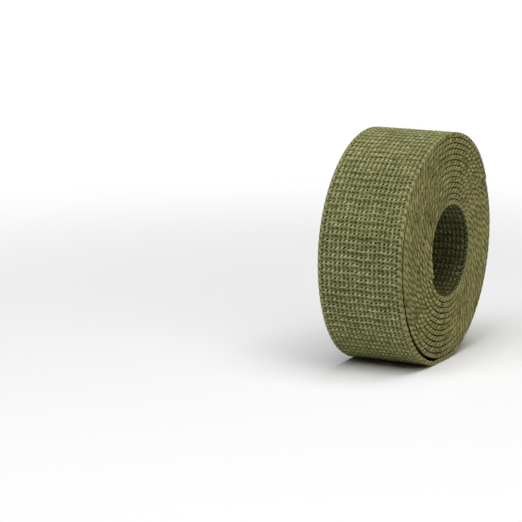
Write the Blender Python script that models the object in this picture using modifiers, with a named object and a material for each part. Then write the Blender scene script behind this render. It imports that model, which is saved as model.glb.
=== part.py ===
"""A roll of webbing: one long woven strip, wound on itself round an open core.

Metres, +Z up. The origin is under the middle of the roll, which stands on its outer turn at z = 0
with its axis along Y. Angles are those seen from its -Y end, from +X (3 o'clock) towards +Z.
"""

import math

import bmesh
import bpy

# The strip as woven
STRIP_WIDTH = 0.038
STRIP_THICKNESS = 0.00205

# The roll that it is wound into, counted in turns from the free end inwards
ROLL_RADIUS = 0.0493  # the outer face of a round roll at the free end
TURN_PITCH = 0.00231  # strip and the air between two turns
TURNS = 12.5
FREE_END_DEG = 30.0  # 2 o'clock; from here the strip runs on to 12, 9, 6 and 3 o'clock
OUTER_TURN_STEPS = 72
INNER_TURN_STEPS = 36

# What hand winding leaves: an oval and a slightly three-cornered roll, rounder towards its core
OVAL = 0.00127
OVAL_DEG = 61.0
THREE_CORNERED = 0.0002
THREE_CORNERED_DEG = 30.0
CORE_STANDS_OUT = 0.0014  # how far the inmost turn stands out of the roll, towards -Y

# The outer turn has sprung loose from the next one at its lower -X side
LOOSE_GAP = 0.00136
LOOSE_DEG = 240.0
LOOSE_SPREAD_DEG = 58.0

# The flat that the roll's own weight presses into its underside
FLAT_DEPTH = 0.00082
LEAST_GAP = 0.0002  # air that stays between two turns there

# Under the outer turn the turns lie pressed together, so they are one solid there, with a groove
# between each two of them in both ends of the roll
GROOVE_DEPTH = 0.0015
PACKED_THICKNESS = 0.001  # what joins two turns reaches into both of them
PACKED_FROM = 1.02
PACKED_TO = 11.48

OLIVE = (0.1870, 0.1912, 0.0580, 1.0)


def apart_deg(angle, other):
    """The angle between two directions, in degrees from -180 to 180."""
    return (angle - other + 180.0) % 360.0 - 180.0


def looseness(turn, angle):
    """How far the outer turn stands off the next one, beyond the usual gap."""
    away = abs(apart_deg(angle, LOOSE_DEG)) / LOOSE_SPREAD_DEG
    if turn >= 1.0 or away >= 1.0:
        return 0.0
    return LOOSE_GAP * math.cos(away * math.pi / 2) ** 2


def free_point(turn):
    """X, Y shift and Z of the strip's mid-surface, from the roll's axis, a number of turns in."""
    angle = FREE_END_DEG + 360.0 * turn
    outwards = 1.0 - turn / TURNS
    uneven = OVAL * math.cos(math.radians(2 * (angle - OVAL_DEG)))
    uneven += THREE_CORNERED * math.cos(math.radians(3 * (angle - THREE_CORNERED_DEG)))
    radius = ROLL_RADIUS - STRIP_THICKNESS / 2 - TURN_PITCH * turn
    radius += outwards * uneven + looseness(turn, angle)
    shift = CORE_STANDS_OUT * (0.5 - (1.0 - outwards) ** 1.5)
    return radius * math.cos(math.radians(angle)), shift, radius * math.sin(math.radians(angle))


OUTER_TURN = [free_point(step / OUTER_TURN_STEPS) for step in range(OUTER_TURN_STEPS + 1)]
AXIS_X = -(min(x for x, _, _ in OUTER_TURN) + max(x for x, _, _ in OUTER_TURN)) / 2
AXIS_Z = STRIP_THICKNESS / 2 - min(z for _, _, z in OUTER_TURN) - FLAT_DEPTH


def resting_point(turn):
    """The same point on the roll as it stands: centred over x = 0, and flat underneath."""
    x, shift, z = free_point(turn)
    turns_beneath = math.floor(turn)
    lowest = STRIP_THICKNESS / 2 + turns_beneath * (STRIP_THICKNESS + LEAST_GAP)
    return x + AXIS_X, shift, max(z + AXIS_Z, lowest)


def strip_path():
    """The strip's points from its free end to its inner end, closer together on the outer turn."""
    outer = [step / OUTER_TURN_STEPS for step in range(OUTER_TURN_STEPS)]
    inner_steps = round((TURNS - 1.0) * INNER_TURN_STEPS)
    inner = [1.0 + step / INNER_TURN_STEPS for step in range(inner_steps + 1)]
    return [resting_point(turn) for turn in outer + inner]


def packing_path():
    """The points midway between each turn and the next, from under the outer turn to the inner end."""
    first, last = math.ceil(PACKED_FROM * INNER_TURN_STEPS), math.floor(PACKED_TO * INNER_TURN_STEPS)
    turns = [PACKED_FROM] + [step / INNER_TURN_STEPS for step in range(first, last + 1)] + [PACKED_TO]
    pairs = [(resting_point(turn), resting_point(turn + 1.0)) for turn in turns]
    return [tuple((outer + inner) / 2 for outer, inner in zip(*pair)) for pair in pairs]


def wound_strip(name, path, width, thickness):
    """The path drawn across a width as an open surface, which Solidify gives its thickness."""
    mesh = bpy.data.meshes.new(name)
    shape = bmesh.new()
    edge = [shape.verts.new((x, shift - width / 2, z)) for x, shift, z in path]
    outline = [shape.edges.new(pair) for pair in zip(edge, edge[1:])]
    drawn = bmesh.ops.extrude_edge_only(shape, edges=outline)
    moved = [item for item in drawn["geom"] if isinstance(item, bmesh.types.BMVert)]
    bmesh.ops.translate(shape, verts=moved, vec=(0.0, width, 0.0))
    bmesh.ops.recalc_face_normals(shape, faces=shape.faces)
    shape.to_mesh(mesh)
    shape.free()
    strip = bpy.data.objects.new(name, mesh)
    solid = strip.modifiers.new("thickness", "SOLIDIFY")
    solid.thickness = thickness
    solid.offset = 0.0
    solid.use_even_offset = True
    mesh.shade_smooth()
    mesh.set_sharp_from_angle(angle=math.radians(40))
    return strip


def webbing_material():
    """Matt olive cotton webbing."""
    material = bpy.data.materials.new("olive webbing")
    material.use_nodes = True
    surface = material.node_tree.nodes["Principled BSDF"]
    surface.inputs["Base Color"].default_value = OLIVE
    surface.inputs["Roughness"].default_value = 0.9
    surface.inputs["Metallic"].default_value = 0.0
    return material


for old in list(bpy.data.objects):
    bpy.data.objects.remove(old, do_unlink=True)

roll = bpy.data.collections.new("webbing roll")
guides = bpy.data.collections.new("guides")
for collection in (roll, guides):
    bpy.context.scene.collection.children.link(collection)

webbing = wound_strip("webbing", strip_path(), STRIP_WIDTH, STRIP_THICKNESS)
webbing.data.materials.append(webbing_material())
roll.objects.link(webbing)

packing = wound_strip("packing", packing_path(), STRIP_WIDTH - 2 * GROOVE_DEPTH, PACKED_THICKNESS)
packing.hide_render = True
packing.display_type = "WIRE"
guides.objects.link(packing)

joined = webbing.modifiers.new("packed turns", "BOOLEAN")
joined.operation = "UNION"
joined.object = packing
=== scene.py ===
"""A roll of olive cotton webbing: one woven strip wound on itself round an open core.

Lengths are millimetres until a mesh, lamp or camera is made, which is in metres. The roll stands at
z = 0 with its axis along Y. Angles are seen from its -Y end, from +X (3 o'clock) towards +Z.
"""
import math

import bpy
import numpy as np
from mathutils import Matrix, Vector


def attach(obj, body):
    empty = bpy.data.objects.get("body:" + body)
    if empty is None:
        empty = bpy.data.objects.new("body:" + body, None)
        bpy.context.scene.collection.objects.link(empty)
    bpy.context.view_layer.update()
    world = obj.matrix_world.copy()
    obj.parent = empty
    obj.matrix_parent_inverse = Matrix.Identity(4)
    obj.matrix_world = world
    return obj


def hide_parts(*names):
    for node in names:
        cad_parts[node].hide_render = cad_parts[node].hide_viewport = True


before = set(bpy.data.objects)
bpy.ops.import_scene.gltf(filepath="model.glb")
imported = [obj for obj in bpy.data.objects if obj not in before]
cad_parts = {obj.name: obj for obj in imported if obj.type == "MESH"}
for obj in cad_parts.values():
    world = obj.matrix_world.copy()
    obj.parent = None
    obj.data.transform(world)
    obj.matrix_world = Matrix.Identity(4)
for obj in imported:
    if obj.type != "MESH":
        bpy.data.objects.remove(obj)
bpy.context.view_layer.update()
MM = 0.001


# The winding
# Twelve and a half turns of strip, rolled up by hand from the inner end with no tube, so the roll is
# a little oval. Its outer turn has sprung off the next one low on the -X side, and the inmost turn
# stands out at the near end. The roll's weight presses its underside flat.
STRIP_WIDTH = 38.0
STRIP_THICKNESS = 2.05
ROLL_RADIUS = 49.3
TURN_PITCH = 2.31
TURNS = 12.5
FREE_END_DEG = 30.0
OVAL = 1.27
OVAL_DEG = 61.0
THREE_CORNERED = 0.2
THREE_CORNERED_DEG = 30.0
CORE_STANDS_OUT = 1.4
CORE_POWER = 1.5  # over 1, so the inner turns stand out by more a turn than the outer ones
LOOSE_GAP = 1.36
LOOSE_DEG = 240.0
LOOSE_SPREAD_DEG = 58.0
FLAT_DEPTH = 0.82
LEAST_GAP = 0.2
FLAT_KNEE = 0.05
# The turns under the outer one follow it where it is loose and are tucked in above that. Each does so
# less than the one outside it, and after five they lie as wound
FOLLOW = 0.30
TUCK = 0.85
TUCK_DEG = 186.0
TUCK_SPREAD_DEG = 58.0
SETTLED_AFTER = 5.0
TABLE_STEPS = 9000


def lobe(angle_deg, middle_deg, spread_deg):
    """A squared cosine: 1 at the middle angle, falling to 0 at the spread to each side of it."""
    away = np.abs((angle_deg - middle_deg + 180.0) % 360.0 - 180.0) / spread_deg
    return np.cos(np.clip(away, 0.0, 1.0) * np.pi / 2) ** 2


def free_winding(turn):
    """X, Y shift and Z of the strip's mid-surface, from the roll's axis, a number of turns in.

    The radius falls by one pitch a turn. Towards the outside it gains an oval, a cosine of twice the
    angle, and three soft corners, a cosine of three times it. One lobe springs the outer turn off the
    roll. The next turns follow it a little there and are tucked in above it, each less than the last.
    """
    angle = np.radians(FREE_END_DEG + 360.0 * turn)
    outwards = 1.0 - turn / TURNS
    uneven = OVAL * np.cos(2 * (angle - math.radians(OVAL_DEG)))
    uneven += THREE_CORNERED * np.cos(3 * (angle - math.radians(THREE_CORNERED_DEG)))
    loose = lobe(np.degrees(angle), LOOSE_DEG, LOOSE_SPREAD_DEG)
    follows = FOLLOW * loose - TUCK * lobe(np.degrees(angle), TUCK_DEG, TUCK_SPREAD_DEG)
    less = np.clip(1.0 - (np.floor(turn) - 1.0) / SETTLED_AFTER, 0.0, 1.0)
    uneven = outwards * uneven + np.where(turn < 1.0, LOOSE_GAP * loose, less * follows)
    radius = ROLL_RADIUS - STRIP_THICKNESS / 2 - TURN_PITCH * turn + uneven
    shift = CORE_STANDS_OUT * (0.5 - np.clip(1.0 - outwards, 0.0, 1.0) ** CORE_POWER)
    return radius * np.cos(angle), shift, radius * np.sin(angle)


TURN_TABLE = np.linspace(0.0, TURNS, TABLE_STEPS + 1)
FREE_X, _, FREE_Z = free_winding(TURN_TABLE)
AXIS_X = -(FREE_X.min() + FREE_X.max()) / 2
AXIS_Z = STRIP_THICKNESS / 2 - FREE_Z.min() - FLAT_DEPTH


def winding(turn):
    """The winding on its surface: each turn stays above the turns that it lies on, past a soft knee."""
    x, shift, z = free_winding(turn)
    lowest = STRIP_THICKNESS / 2 + np.floor(turn) * (STRIP_THICKNESS + LEAST_GAP)
    above = (z + AXIS_Z - lowest) / FLAT_KNEE
    return x + AXIS_X, shift, lowest + FLAT_KNEE * np.logaddexp(0.0, above)


TABLE_X, _, TABLE_Z = winding(TURN_TABLE)
LENGTH_TABLE = np.concatenate([[0.0], np.cumsum(np.hypot(np.diff(TABLE_X), np.diff(TABLE_Z)))])


def length_to(turn):
    """Millimetres of strip from the free end to a turn."""
    return float(np.interp(turn, TURN_TABLE, LENGTH_TABLE))


# The weave
# Thick cotton yarns. In each column a broad warp float, leaning a little, lies over two level bands
# of weft, and a short tick crosses where it dives, made pale with a painted highlight. Beside each
# tick is a deep eye, darkened with painted shade.
COLUMNS = 19
COLUMN_PITCH = STRIP_WIDTH / COLUMNS
ROW_PITCH = 3.15
FLOOR_DEPTH = -0.60
# The weave's floor, seen in its holes, gets a low tone as painted shade
FLOOR_PAINTED_SHADE = 0.70
PROUD_AT_MOST = 0.08
# name: from column, from row, to column, to row, half width, crown, drop at its ends, tone, uneven
# In the tone column the deep weft's low tone is painted shade and the warp tick's high tone a painted
# highlight
FACE_FLOATS = {
    "upper band": (-0.6, 0.20, 0.6, 0.20, 0.44, -0.06, 0.02, 1.00, 0.03),
    "lower band": (-0.6, 0.76, 0.6, 0.76, 0.40, -0.11, 0.02, 0.92, 0.03),
    "deep weft": (-0.6, 0.50, 0.6, 0.50, 0.56, -0.32, 0.00, 0.80, 0.03),
    "warp float": (0.05, 0.12, -0.05, 0.86, 0.50, -0.04, 0.12, 0.76, 0.03),
    "warp shoulder": (0.24, 0.24, 0.06, 0.44, 0.34, -0.08, 0.04, 1.00, 0.03),
    "warp tick": (0.24, 1.04, -0.20, 0.91, 0.26, 0.06, 0.10, 1.72, 0.06),
}
# Along a selvedge the plies run nearly with the strip, over the weft's turns; a column is the edge
EDGE_GIRTH = 2.7
EDGE_FLOATS = {
    "filling": (-0.5, 0.50, 0.5, 0.50, 1.90, -0.14, 0.00, 0.92, 0.02),
    # The two gaps are dark floats put between the plies as painted shade
    "outer gap": (-0.24, 0.86, -0.14, 1.02, 0.36, -0.06, 0.00, 0.42, 0.00),
    "inner gap": (0.14, 0.44, 0.24, 0.60, 0.36, -0.06, 0.00, 0.42, 0.00),
    "outer ply": (-0.42, 0.00, -0.20, 0.86, 0.32, 0.07, 0.08, 1.04, 0.03),
    "middle ply": (-0.12, 0.34, 0.10, 1.16, 0.30, 0.02, 0.05, 1.00, 0.03),
    "inner ply": (0.18, 0.66, 0.42, 1.50, 0.32, 0.07, 0.08, 1.04, 0.03),
}
STITCH_DRIFT = 0.7  # how far the stitches drift along the strip in a turn
# What sets each yarn apart, a standard deviation: its place in columns and rows, and its tone
COLUMN_UNEVEN = 0.03
ROW_UNEVEN = 0.02
TONE_UNEVEN = 0.09
ROW_TONE_UNEVEN = 0.05
DRAWN_COLUMNS = 64
DRAWN_ROWS = 1024
YARN_FALL = 0.85  # how far its sides fall, as a share of its half width
# How far rows and columns wander, as a share of one
FACE_WANDER = 0.05
EDGE_WANDER = 0.03
ROW_WAVES = ((1.0, 0.9, 0.31), (0.6, 2.3, -0.17))  # share, radians a column, radians a row
COLUMN_WAVER = (0.23, 1.7, 0.11)  # rate, swing and swing rate, in radians a row


def wavering(place, rate, swing, swing_rate):
    """A sine whose phase swings by another sine, so that one wave is unlike the next."""
    return np.sin(rate * place + swing * np.sin(swing_rate * place))


def woven(across, along, floats, pitch, wander):
    """Height of the weave, 0 at the strip's surface and negative below it, and the tone of its yarn.

    Each float is a half-buried round yarn: its crown drops as a parabola towards its two ends, and
    its surface falls away as a circle's arc to each side. The highest float shows. The same floats
    come back in every column and row, each with its own small difference in place, height and tone.
    """
    column, row = across / pitch, along / ROW_PITCH
    row = row + wander * sum(
        share * np.sin(by_column * column + by_row * row) for share, by_column, by_row in ROW_WAVES)
    column = column + wander * wavering(row, *COLUMN_WAVER)
    height = np.full(across.shape, FLOOR_DEPTH)
    tone = np.full(across.shape, FLOOR_PAINTED_SHADE)
    for order, numbers in enumerate(floats.values()):
        from_column, from_row, to_column, to_row, half_width, crown, drop, shade, uneven = numbers
        own = np.random.default_rng(order).normal(size=(DRAWN_COLUMNS, DRAWN_ROWS))
        run_x, run_y = (to_column - from_column) * pitch, (to_row - from_row) * ROW_PITCH
        for beside in (-1, 0, 1):
            for before in (-1, 0, 1):
                cell_column, cell_row = np.floor(column) + beside, np.floor(row) + before
                drawn_column = cell_column.astype(int) % DRAWN_COLUMNS
                drawn_row = cell_row.astype(int) % DRAWN_ROWS
                chance, row_chance = own[drawn_column, drawn_row], own[0, drawn_row]
                x = (column - cell_column - from_column + COLUMN_UNEVEN * chance) * pitch
                y = (row - cell_row - from_row + ROW_UNEVEN * chance) * ROW_PITCH
                share = np.clip((x * run_x + y * run_y) / (run_x ** 2 + run_y ** 2), 0.0, 1.0)
                off = np.hypot(x - share * run_x, y - share * run_y) / half_width
                top = crown - drop * (2 * share - 1) ** 2 + uneven * chance
                fall = YARN_FALL * half_width * (1.0 - np.sqrt(np.clip(1.0 - off ** 2, 0.0, 1.0)))
                here = np.where(off < 1.0, top - fall, FLOOR_DEPTH)
                shows = here > height
                height = np.where(shows, here, height)
                tone = np.where(shows, shade + TONE_UNEVEN * chance + ROW_TONE_UNEVEN * row_chance, tone)
    return np.clip(height, FLOOR_DEPTH, PROUD_AT_MOST), tone


# The strip as a solid
# Cross-section: two woven faces and two blunt selvedges. It is made in lengths that meet end to end,
# so that the faces that show can be finer than the ones between two turns.
EDGE_ROUND = 0.60
EDGE_BLUNT = 0.50
FACE_REACH = STRIP_WIDTH / 2 - EDGE_ROUND
NORMAL_STEP = 0.002  # turns to each side, over which the strip's direction is taken
# The last warp end along each selvedge: a smooth rib, nipped once a row and painted darker in each nip as
# shade
RIB_WIDTH = 0.8
RIB_BLEND = 0.30
RIB_CROWN = -0.03
RIB_NIP = 0.28
RIB_NIP_POWER = 8
RIB_TONE = 1.12
RIB_NIP_PAINTED_SHADE = 0.45
# The inner face shows only in the core, where painted shade makes it darker than the outer face is outside
CORE_PAINTED_SHADE = 0.47
# Faces between two turns: painted nearly black as shade, and sunk to lie clear of each other
HIDDEN_PAINTED_SHADE = 0.14
HIDDEN_FACE_SINK = 0.12
# Where a selvedge rounds in to the next turn it is painted darker as shade, though not alike in every turn
GROOVE_FROM_DEG = 56.0
GROOVE_PAINTED_SHADE = 0.90
GROOVE_PAINTED_SHADE_UNEVEN = 0.15
GROOVE_WAVER = (3.7, 2.0, 2.1)  # rate, swing and swing rate, in radians a turn
# The cut outer end: the share of its thickness and of its weave that is pressed out of it
END_PRESSED = 0.85
END_RELIEF_PRESSED = 0.6
END_TAPER = 26.0


def cross_section(outer_points, edge_points, inner_points):
    """The closed outline of the strip, round from the far end of its outer face.

    Gives for each point: across (Y), out (from the mid-surface), the direction in which the weave
    raises it, its distance along the weave, and which face it is on: 0 outer, 1 near selvedge,
    2 inner, 3 far selvedge. A selvedge is half a superellipse: the sine and cosine of its angle are
    raised to a power under 1, which makes it blunt.
    """
    half = STRIP_THICKNESS / 2
    outer = np.linspace(FACE_REACH, -FACE_REACH, outer_points)
    inner = np.linspace(-FACE_REACH, FACE_REACH, inner_points)
    turn = np.linspace(np.pi / 2, -np.pi / 2, edge_points + 2)[1:-1]
    reach = EDGE_ROUND * np.cos(turn) ** EDGE_BLUNT
    rise = half * np.sign(np.sin(turn)) * np.abs(np.sin(turn)) ** EDGE_BLUNT
    across = [outer, -FACE_REACH - reach, inner, FACE_REACH + reach]
    out = [np.full(outer_points, half), rise, np.full(inner_points, -half), -rise]
    raise_across = [0 * outer, -np.cos(turn), 0 * inner, np.cos(turn)]
    raise_out = [0 * outer + 1, np.sin(turn), 0 * inner - 1, -np.sin(turn)]
    weave_across = [outer, -turn / np.pi * EDGE_GIRTH, inner, turn / np.pi * EDGE_GIRTH]
    face = [np.full(len(part), number) for number, part in enumerate(across)]
    return [np.concatenate(parts) for parts in (across, out, raise_across, raise_out, weave_across, face)]


def outward_normal(turn):
    """X and Z of the winding's outward normal: its direction, turned by a quarter."""
    before = winding(np.clip(turn - NORMAL_STEP, 0, TURNS))
    after = winding(np.clip(turn + NORMAL_STEP, 0, TURNS))
    run_x, run_z = after[0] - before[0], after[2] - before[2]
    run = np.hypot(run_x, run_z)
    return run_z / run, -run_x / run


def face_weave(across, along):
    """Height and tone of a woven face. A cosine to an even power nips its two ribs once a row, and
    darkens each nip with painted shade.
    """
    height, tone = woven(across, along, FACE_FLOATS, COLUMN_PITCH, FACE_WANDER)
    rib = np.clip((np.abs(across) - FACE_REACH + RIB_WIDTH) / RIB_BLEND, 0.0, 1.0)
    nip = np.cos(np.pi * along / ROW_PITCH) ** RIB_NIP_POWER
    height += rib * (RIB_CROWN - RIB_NIP * nip - height)
    tone += rib * (RIB_TONE - RIB_NIP_PAINTED_SHADE * nip - tone)
    return height, tone


def selvedge_weave(across, along, turn, raise_out):
    """Height and tone of a selvedge, whose tone is darkened with painted shade where it faces another
    turn.
    """
    height, tone = woven(across, along + STITCH_DRIFT * turn, EDGE_FLOATS, EDGE_GIRTH, EDGE_WANDER)
    rounds_in = math.sin(math.radians(GROOVE_FROM_DEG))
    faces_outer_turn = (raise_out > rounds_in) & (turn > 1.0)
    faces_inner_turn = (raise_out < -rounds_in) & (turn < TURNS - 1.0)
    groove_shade = GROOVE_PAINTED_SHADE + GROOVE_PAINTED_SHADE_UNEVEN * wavering(turn, *GROOVE_WAVER)
    return height, tone * np.where(faces_outer_turn | faces_inner_turn, groove_shade, 1.0)


def closed_rings(name, points):
    """A mesh from a grid of points: each ring is joined to the next, and a flat face closes each end."""
    rows, ring = points.shape[:2]
    start = np.arange(rows - 1)[:, None] * ring + np.arange(ring)[None, :]
    beside = np.arange(rows - 1)[:, None] * ring + (np.arange(ring)[None, :] + 1) % ring
    quads = np.stack([start, beside, beside + ring, start + ring], axis=-1).reshape(-1, 4)
    ends = [np.arange(ring)[::-1].tolist(), ((rows - 1) * ring + np.arange(ring)).tolist()]
    mesh = bpy.data.meshes.new(name)
    mesh.from_pydata((points.reshape(-1, 3) * MM).tolist(), [], quads.tolist() + ends)
    smooth = np.ones(len(mesh.polygons), bool)
    smooth[-len(ends):] = False
    mesh.polygons.foreach_set("use_smooth", smooth)
    return mesh


def strip_length(name, first_turn, last_turn, step, outer_points, edge_points, inner_points):
    """One length of the strip as a closed mesh, with its UVs in millimetres of cloth.

    A point is the winding's point, plus its place across along Y, plus its distance out along the
    winding's outward normal, each raised or sunk by the weave. A face with fewer points than the
    weave has columns is a hidden one: it stays plain and is painted nearly black as shade.
    """
    first, last = length_to(first_turn), length_to(last_turn)
    along = np.linspace(first, last, round((last - first) / step) + 1)[:, None]
    turn = np.interp(along, LENGTH_TABLE, TURN_TABLE)
    across, out, raise_across, raise_out, weave_across, face = cross_section(
        outer_points, edge_points, inner_points)
    cloth_across, cloth_along = np.broadcast_arrays(weave_across, along)
    height = np.full(cloth_along.shape, -HIDDEN_FACE_SINK)
    tone = np.full(cloth_along.shape, HIDDEN_PAINTED_SHADE)
    for number, count, light in ((0, outer_points, 1.0), (2, inner_points, CORE_PAINTED_SHADE)):
        if count > COLUMNS:
            there = face == number
            height[:, there], tone[:, there] = face_weave(cloth_across[:, there], cloth_along[:, there])
            tone[:, there] *= light
    for number in (1, 3):
        there = face == number
        height[:, there], tone[:, there] = selvedge_weave(
            cloth_across[:, there], cloth_along[:, there], turn, raise_out[there])
    x, shift, z = winding(turn)
    normal_x, normal_z = outward_normal(turn)
    pressed = END_PRESSED * (1.0 - np.clip(along / END_TAPER, 0.0, 1.0)) ** 2
    level = out - pressed * (out + STRIP_THICKNESS / 2)
    push_out = level + raise_out * height * (1.0 - END_RELIEF_PRESSED * pressed)
    push_across = across + raise_across * height
    points = np.stack([x + normal_x * push_out, shift + push_across, z + normal_z * push_out], axis=-1)
    mesh = closed_rings(name, points)
    relief = height / -FLOOR_DEPTH + 1.0
    selvedge = np.broadcast_to(face % 2, height.shape)
    for attribute, values in (("relief", relief), ("tone", tone), ("selvedge", selvedge)):
        mesh.attributes.new(attribute, "FLOAT", "POINT").data.foreach_set(
            "value", values.astype(np.float32).ravel())
    corner = np.empty(len(mesh.loops), np.int32)
    mesh.loops.foreach_get("vertex_index", corner)
    cloth = np.stack([cloth_across.ravel()[corner], cloth_along.ravel()[corner]], axis=-1)
    mesh.uv_layers.new(name="cloth").data.foreach_set("uv", cloth.astype(np.float32).ravel())
    mesh.update()
    strip = bpy.data.objects.new(name, mesh)
    bpy.context.scene.collection.objects.link(strip)
    return strip


# Cotton webbing
# Piece-dyed cotton, spun and plied: matt and a little fuzzy. Its colour is painted darker with the
# weave's depth as shade, down to nearly black-green in the holes between the yarns. Its selvedges
# are tinted a little warmer than its faces as painted light: they lack the faces' cool sheen.
# The colour darkens with the weave's depth as painted shade, to nearly black-green in the holes
DEEPEST_SHADE_COLOUR = (0.05, "#2A2E16")  # share of the weave's depth from its floor, and sRGB colour
CROWN_COLOUR = (1.0, "#999972")
BETWEEN_SHADE_COLOURS = ((0.40, "#51532D"), (0.75, "#7E7F53"))
# The selvedges' warm tint is painted light: it stands in for the cool sheen that the faces catch and the
# selvedges don't
SELVEDGE_PAINTED_WARMTH = (1.0, 0.94, 0.80, 1.0)
COTTON_ROUGHNESS = 0.9
FIBRES_PER_MM = (2.6, 1.1, 1.0)  # tufts of 0.4 by 0.9 mm, coarser than real fibres so that they show
FIBRE_TONES = (0.80, 1.20)
FADING_PER_M = 70.0  # patches about 14 mm across
FADING_TONES = (0.90, 1.10)
NOISE_SPAN = (0.3, 0.7)  # the part of a noise's range that holds nearly all of its values
FUZZ_PER_MM = 5.0
FUZZ_HEIGHT = 0.15
FUZZ_STRENGTH = 0.5


def linear(hex_colour):
    """An sRGB hex colour as linear RGBA."""
    parts = [int(hex_colour[place:place + 2], 16) / 255 for place in (1, 3, 5)]
    return [part / 12.92 if part <= 0.04045 else ((part + 0.055) / 1.055) ** 2.4 for part in parts] + [1.0]


def add_node(tree, kind, inputs=None, **settings):
    """Adds one node, sets its settings, and links or fills its inputs."""
    made = tree.nodes.new(kind)
    for name, value in settings.items():
        setattr(made, name, value)
    for name, value in (inputs or {}).items():
        if isinstance(value, bpy.types.NodeSocket):
            tree.links.new(value, made.inputs[name])
        else:
            made.inputs[name].default_value = value
    return made


def cotton_webbing():
    """Olive cotton: painted shade by the weave's depth, times the tones of its yarn, its fibres and
    fading.

    The selvedges are tinted warmer as painted light, and a fine noise raises the fuzz.
    """
    material = bpy.data.materials.new("olive cotton webbing")
    material.use_nodes = True
    tree = material.node_tree
    surface = tree.nodes["Principled BSDF"]
    cloth = add_node(tree, "ShaderNodeUVMap", uv_map="cloth").outputs["UV"]
    place = add_node(tree, "ShaderNodeTexCoord").outputs["Object"]
    relief = add_node(tree, "ShaderNodeAttribute", attribute_name="relief").outputs["Fac"]
    tone = add_node(tree, "ShaderNodeAttribute", attribute_name="tone").outputs["Fac"]
    at_selvedge = add_node(tree, "ShaderNodeAttribute", attribute_name="selvedge").outputs["Fac"]
    # This ramp paints shade by the weave's depth
    painted_depth_shade = add_node(tree, "ShaderNodeValToRGB", {"Fac": relief})
    stops = painted_depth_shade.color_ramp.elements
    stops[0].position, stops[0].color = DEEPEST_SHADE_COLOUR[0], linear(DEEPEST_SHADE_COLOUR[1])
    stops[1].position, stops[1].color = CROWN_COLOUR[0], linear(CROWN_COLOUR[1])
    for position, colour in BETWEEN_SHADE_COLOURS:
        stop = stops.new(position)
        stop.color = linear(colour)
    fibre_scale = add_node(tree, "ShaderNodeMapping", {"Vector": cloth, "Scale": FIBRES_PER_MM})
    fibres = add_node(tree, "ShaderNodeTexNoise", {
        "Vector": fibre_scale.outputs["Vector"], "Scale": 1.0, "Detail": 3.0, "Roughness": 0.6})
    fading = add_node(tree, "ShaderNodeTexNoise", {"Vector": place, "Scale": FADING_PER_M, "Detail": 2.0})
    tones = [
        add_node(tree, "ShaderNodeMapRange", {
            "Value": noise.outputs["Fac"], "From Min": NOISE_SPAN[0], "From Max": NOISE_SPAN[1],
            "To Min": darkest, "To Max": lightest}).outputs["Result"]
        for noise, (darkest, lightest) in ((fibres, FIBRE_TONES), (fading, FADING_TONES))]
    both = add_node(tree, "ShaderNodeMath", {0: tones[0], 1: tones[1]}, operation="MULTIPLY")
    light = add_node(tree, "ShaderNodeMath", {0: both.outputs["Value"], 1: tone}, operation="MULTIPLY")
    toned = add_node(tree, "ShaderNodeVectorMath", {
        0: painted_depth_shade.outputs["Color"], "Scale": light.outputs["Value"]}, operation="SCALE")
    # The selvedges get their warm tint here, as painted light
    tinted = add_node(tree, "ShaderNodeMixRGB", {
        "Fac": at_selvedge, "Color1": toned.outputs["Vector"], "Color2": SELVEDGE_PAINTED_WARMTH},
        blend_type="MULTIPLY")
    tree.links.new(tinted.outputs["Color"], surface.inputs["Base Color"])
    fuzz = add_node(tree, "ShaderNodeTexNoise", {"Vector": cloth, "Scale": FUZZ_PER_MM, "Detail": 3.0})
    bump = add_node(tree, "ShaderNodeBump", {
        "Height": fuzz.outputs["Fac"], "Strength": FUZZ_STRENGTH, "Distance": FUZZ_HEIGHT * MM})
    tree.links.new(bump.outputs["Normal"], surface.inputs["Normal"])
    surface.inputs["Roughness"].default_value = COTTON_ROUGHNESS
    surface.inputs["Specular IOR Level"].default_value = 0.0
    return material


COTTON = cotton_webbing()
# name, first turn, last turn, step along, points across the outer face, a selvedge and the inner face
LENGTHS = (
    ("outer_turn_upper_length", 0.0, 0.5, 0.30, 150, 9, 12),
    ("outer_turn_lower_length", 0.5, 1.0, 0.30, 150, 9, 12),
    ("middle_turns_length", 1.0, 11.5, 0.55, 3, 8, 3),
    ("inmost_turn_length", 11.5, 12.5, 0.36, 5, 9, 110),
)
for name, first_turn, last_turn, *fineness in LENGTHS:
    strip = strip_length(name, first_turn, last_turn, *fineness)
    strip.data.materials.append(COTTON)
    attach(strip, "root")
    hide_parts("webbing")


# Floor
# A sweep of white matt paper. From a hand's breadth round the roll it goes over to plain lit white,
# as in a studio where the sweep has lamps of its own.
FLOOR_HALF = 4.0
LIT_WHITE_FROM = 0.13
LIT_WHITE_TO = 0.50
PAPER_COLOUR = "#FEFEFE"
PAPER_ROUGHNESS = 0.9
floor_mesh = bpy.data.meshes.new("floor")
floor_mesh.from_pydata(
    [(x * FLOOR_HALF, y * FLOOR_HALF, 0.0) for x, y in ((-1, -1), (1, -1), (1, 1), (-1, 1))],
    [], [(0, 1, 2, 3)])
floor = bpy.data.objects.new("floor", floor_mesh)
bpy.context.scene.collection.objects.link(floor)
paper = bpy.data.materials.new("white paper sweep")
paper.use_nodes = True
paper_tree = paper.node_tree
paper_surface = paper_tree.nodes["Principled BSDF"]
paper_surface.inputs["Base Color"].default_value = linear(PAPER_COLOUR)
paper_surface.inputs["Roughness"].default_value = PAPER_ROUGHNESS
paper_surface.inputs["Specular IOR Level"].default_value = 0.0
on_floor = add_node(paper_tree, "ShaderNodeTexCoord").outputs["Object"]
from_roll = add_node(paper_tree, "ShaderNodeVectorMath", {0: on_floor}, operation="LENGTH")
lit_white = add_node(paper_tree, "ShaderNodeMapRange", {
    "Value": from_roll.outputs["Value"], "From Min": LIT_WHITE_FROM, "From Max": LIT_WHITE_TO},
    interpolation_type="SMOOTHSTEP")
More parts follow.
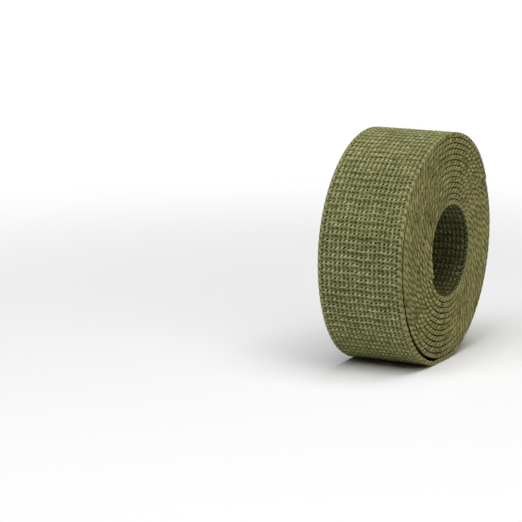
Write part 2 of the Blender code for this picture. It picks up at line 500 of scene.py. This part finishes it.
glow = add_node(paper_tree, "ShaderNodeEmission", {"Color": (1.0, 1.0, 1.0, 1.0), "Strength": 1.0})
sweep = add_node(paper_tree, "ShaderNodeMixShader", {
    0: lit_white.outputs["Result"], 1: paper_surface.outputs["BSDF"], 2: glow.outputs["Emission"]})
paper_tree.links.new(sweep.outputs["Shader"], paper_tree.nodes["Material Output"].inputs["Surface"])
floor_mesh.materials.append(paper)


# Camera
# A long lens, level, fitted to the roll's outline, its near end and its core. The roll stands well to
# the right of the middle of the frame.
CAMERA_AZIMUTH_DEG = -65.47
CAMERA_ELEVATION_DEG = 10.62
CAMERA_DISTANCE = 1074.8
PHOTO_SIDE_PX = 522
FOCAL_PX = 2500.0
AXIS_PIXEL = (406.67, 244.97)  # where the middle of the roll's axis is in the photo
SENSOR_WIDTH = 36.0
FURTHEST_SEEN = 20.0


def backwards(azimuth_deg, elevation_deg):
    """The direction from what is looked at to the camera: azimuth 0 looks along +Y, 90 along -X."""
    azimuth, elevation = math.radians(azimuth_deg), math.radians(elevation_deg)
    return Vector((math.sin(azimuth) * math.cos(elevation), -math.cos(azimuth) * math.cos(elevation),
                   math.sin(elevation)))


def looking(target_direction, pixel):
    """The level camera's direction that puts a target at a pixel of the photo.

    The pixel's own ray, turned up by the camera's elevation and round by its azimuth, is the
    direction to the target; its height gives the elevation, and its bearing the azimuth.
    """
    right = (pixel[0] - PHOTO_SIDE_PX / 2) / FOCAL_PX
    up = -(pixel[1] - PHOTO_SIDE_PX / 2) / FOCAL_PX
    ray = Vector((right, up, 1.0)).normalized()
    elevation = math.asin(target_direction.z / math.hypot(ray.y, ray.z)) - math.atan2(ray.y, ray.z)
    ahead = ray.z * math.cos(elevation) - ray.y * math.sin(elevation)
    bearing = math.atan2(target_direction.y, target_direction.x) + math.atan2(ray.x, ahead)
    return Vector((math.cos(elevation) * math.cos(bearing), math.cos(elevation) * math.sin(bearing),
                   math.sin(elevation)))


axis_middle = Vector((AXIS_X, CORE_STANDS_OUT / 2, AXIS_Z)) * MM
back = backwards(CAMERA_AZIMUTH_DEG, CAMERA_ELEVATION_DEG)
camera_data = bpy.data.cameras.new("camera")
camera_data.sensor_width = SENSOR_WIDTH
camera_data.lens = camera_data.sensor_width * FOCAL_PX / PHOTO_SIDE_PX
camera_data.clip_end = FURTHEST_SEEN
camera = bpy.data.objects.new("camera", camera_data)
camera.location = axis_middle + back * CAMERA_DISTANCE * MM
camera.rotation_euler = looking(-back, AXIS_PIXEL).to_track_quat("-Z", "Y").to_euler()
bpy.context.scene.collection.objects.link(camera)
bpy.context.scene.camera = camera


# Light
# Three square soft boxes: one overhead, one to the camera's left that lights the outer face, and a
# weaker one before the near end. A faint warm room light fills the shadows.
# name, azimuth and elevation in degrees, distance and side in metres, power in watts, colour
SOFT_BOXES = (
    ("overhead", 0.0, 79.0, 1.2, 0.9, 8.7, "#FFFFFF"),
    ("left", -100.0, 55.0, 1.4, 0.9, 9.2, "#F6F8FF"),
    ("front", -30.0, 40.0, 1.4, 0.9, 3.8, "#FFF9F0"),
)
ROOM_COLOUR = "#FFFCE6"
ROOM_STRENGTH = 0.045


def soft_box(name, azimuth_deg, elevation_deg, distance, side, power, colour):
    """A square lamp in a soft box, aimed at the roll."""
    lamp = bpy.data.lights.new(name, "AREA")
    lamp.shape = "SQUARE"
    lamp.size = side
    lamp.energy = power
    lamp.color = linear(colour)[:3]
    box = bpy.data.objects.new(name, lamp)
    away = backwards(azimuth_deg, elevation_deg)
    box.location = axis_middle + away * distance
    box.rotation_euler = (-away).to_track_quat("-Z", "Y").to_euler()
    bpy.context.scene.collection.objects.link(box)


for numbers in SOFT_BOXES:
    soft_box(*numbers)
room = bpy.data.worlds.new("soft studio")
bpy.context.scene.world = room
room.use_nodes = True
room.node_tree.nodes["Background"].inputs["Color"].default_value = linear(ROOM_COLOUR)
room.node_tree.nodes["Background"].inputs["Strength"].default_value = ROOM_STRENGTH
bpy.context.scene.view_settings.view_transform = "Standard"
